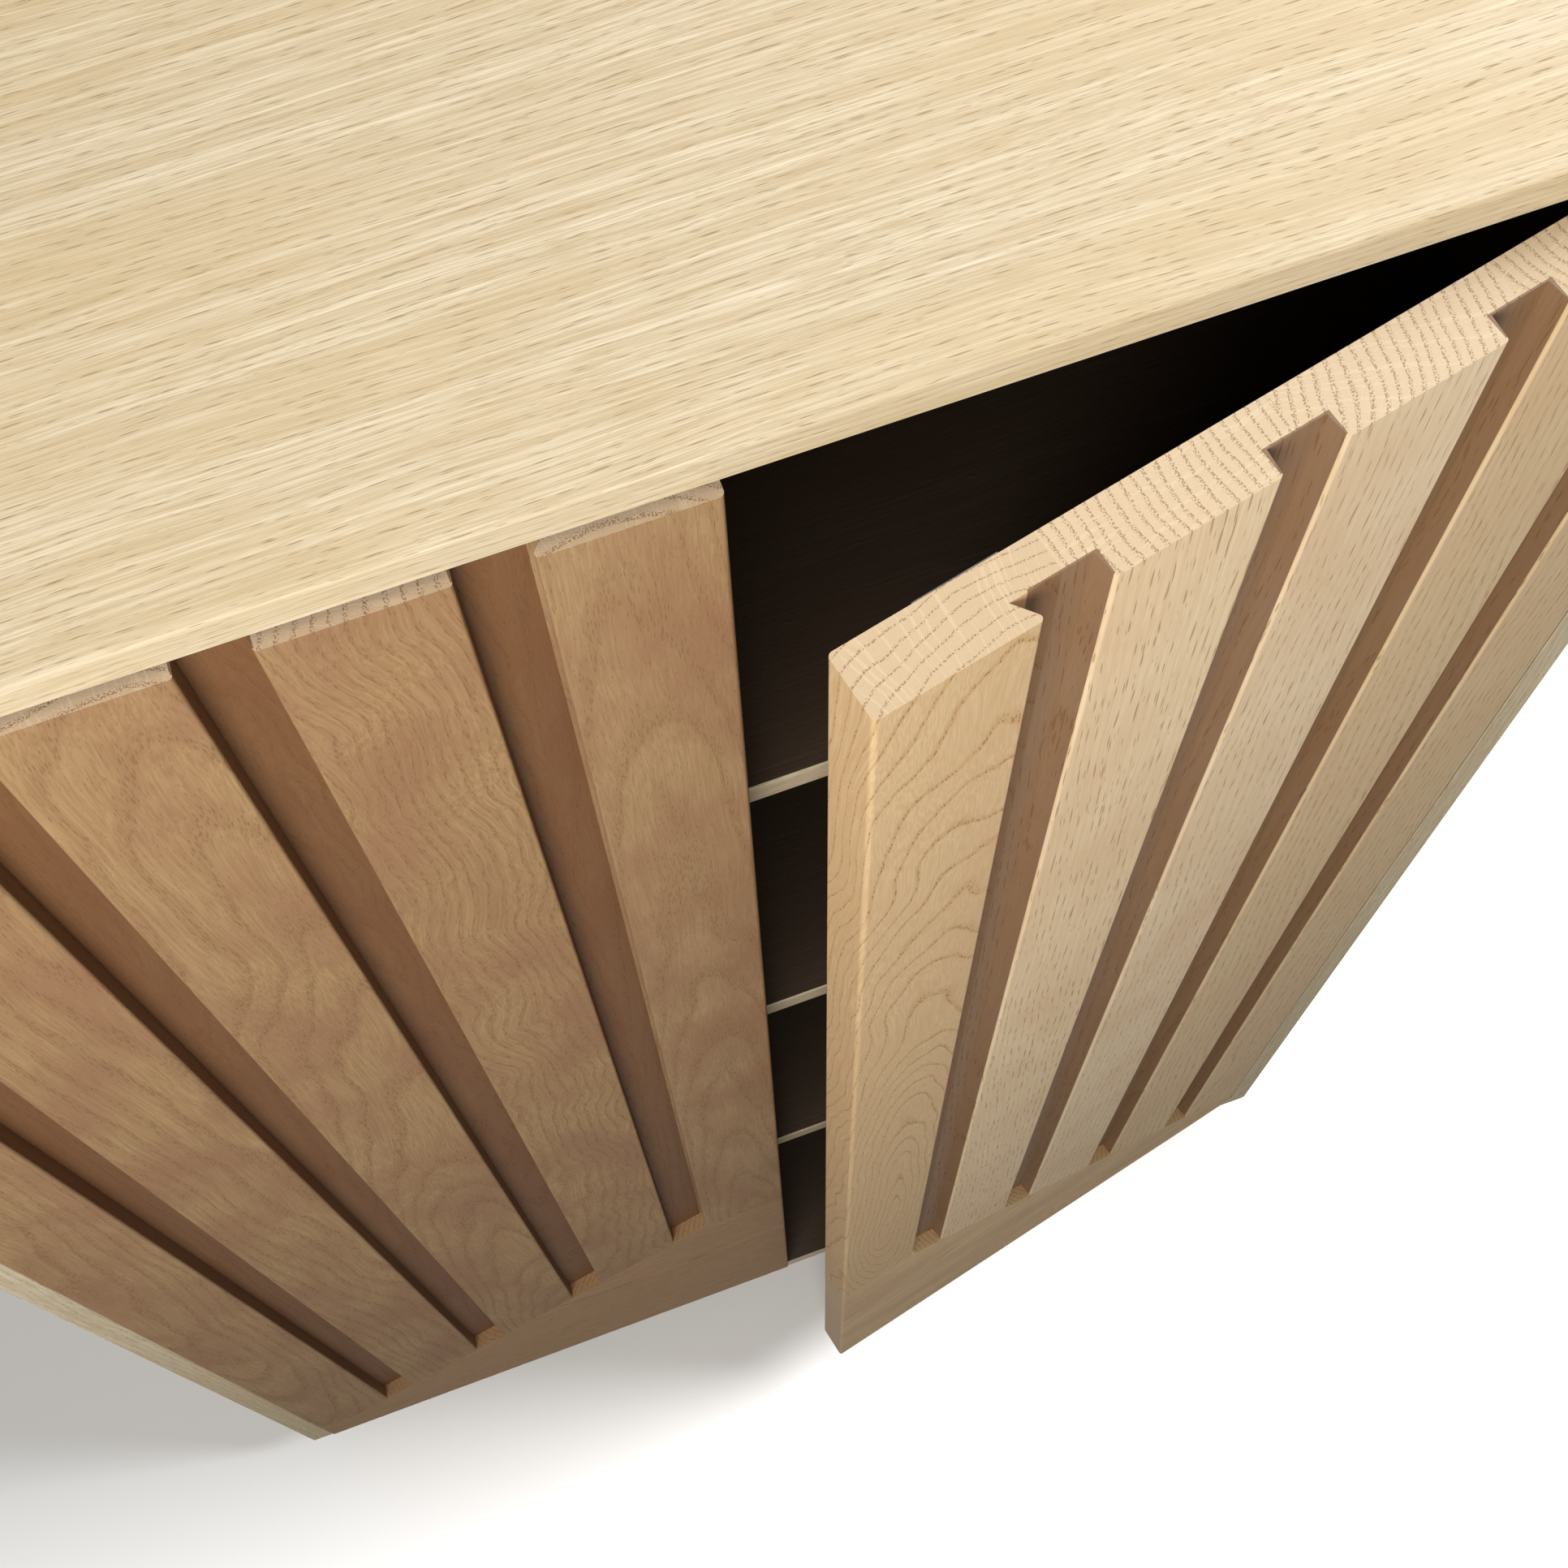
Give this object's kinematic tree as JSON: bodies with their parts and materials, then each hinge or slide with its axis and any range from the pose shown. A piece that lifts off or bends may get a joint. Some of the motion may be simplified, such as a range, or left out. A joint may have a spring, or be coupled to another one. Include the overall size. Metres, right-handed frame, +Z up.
{
  "type": "media cabinet",
  "caption": "Tall oak media cabinet with slatted double doors on pivot hinges, shelved compartments and cable outlets in its back panel.",
  "frame": {"origin": "on the floor, under the middle of the box around the cabinet with its right door ajar", "axes": "+Z up, +Y to the cabinet's back, +X to the right of someone facing the doors"},
  "size_m": [0.834, 0.486, 1.4585],
  "materials": {
    "oak_door": "oiled solid oak, fine open grain",
    "oak_case": "oiled oak, straight grain",
    "oak_ply": "oak-faced plywood, satin",
    "beech": "raw turned beech",
    "hinge_steel": "satin stainless",
    "plated_steel": "zinc-plated, satin",
    "zinc": "die-cast, matt",
    "black_plastic": "matt moulded",
    "ferrite": "sintered, dull",
    "brass_washer": "turned, satin"
  },
  "bodies": {
    "carcass": {"top_panel": "oak_case", "bottom_panel": "oak_case", "back_panel": "oak_ply", "lower_shelf": "oak_case", "middle_shelf": "oak_case", "upper_shelf": "oak_case", "shelf_pins": "plated_steel", "panel_dowels": "beech", "cam_discs": "zinc", "cam_bolts": "plated_steel", "back_panel_screws": "plated_steel", "plinth_front": "oak_case", "plinth_back": "oak_case", "plinth_left": "oak_case", "plinth_right": "oak_case", "plinth_corner_blocks": "beech", "plinth_block_screws": "plated_steel", "glides": "black_plastic", "left_side_panel": "oak_case", "left_catch_case": "black_plastic", "left_upper_hinge_plate": "hinge_steel", "left_lower_hinge_plate": "hinge_steel", "right_side_panel": "oak_case", "right_catch_case": "black_plastic", "right_upper_hinge_plate": "hinge_steel", "right_lower_hinge_plate": "hinge_steel", "hinge_plate_screws": "plated_steel", "pivot_washers": "brass_washer", "catch_magnets": "ferrite", "catch_screws": "plated_steel"},
    "left_door": {"left_slat_stave_1": "oak_door", "left_slat_stave_2": "oak_door", "left_slat_stave_3": "oak_door", "left_slat_stave_4": "oak_door", "left_slat_stave_5": "oak_door", "left_bottom_rail": "oak_door", "left_rail_dowels": "beech", "left_upper_hinge_leaf": "hinge_steel", "left_lower_hinge_leaf": "hinge_steel", "left_leaf_screws": "plated_steel", "left_strike_plate": "plated_steel", "left_strike_screw": "plated_steel"},
    "right_door": {"right_slat_stave_1": "oak_door", "right_slat_stave_2": "oak_door", "right_slat_stave_3": "oak_door", "right_slat_stave_4": "oak_door", "right_slat_stave_5": "oak_door", "right_bottom_rail": "oak_door", "right_rail_dowels": "beech", "right_upper_hinge_leaf": "hinge_steel", "right_lower_hinge_leaf": "hinge_steel", "right_leaf_screws": "plated_steel", "right_strike_plate": "plated_steel", "right_strike_screw": "plated_steel"}
  },
  "joints": [
    {"name": "left_door_swing", "type": "hinge", "parent": "carcass", "child": "left_door", "pos_m": [-0.384, -0.15097, 0.068], "axis": [0, 0, -1], "range_deg": [0, 110]},
    {"name": "right_door_swing", "type": "hinge", "parent": "carcass", "child": "right_door", "pos_m": [0.384, -0.15097, 0.068], "axis": [0, 0, 1], "range_deg": [-12.5, 97.5]}
  ]
}
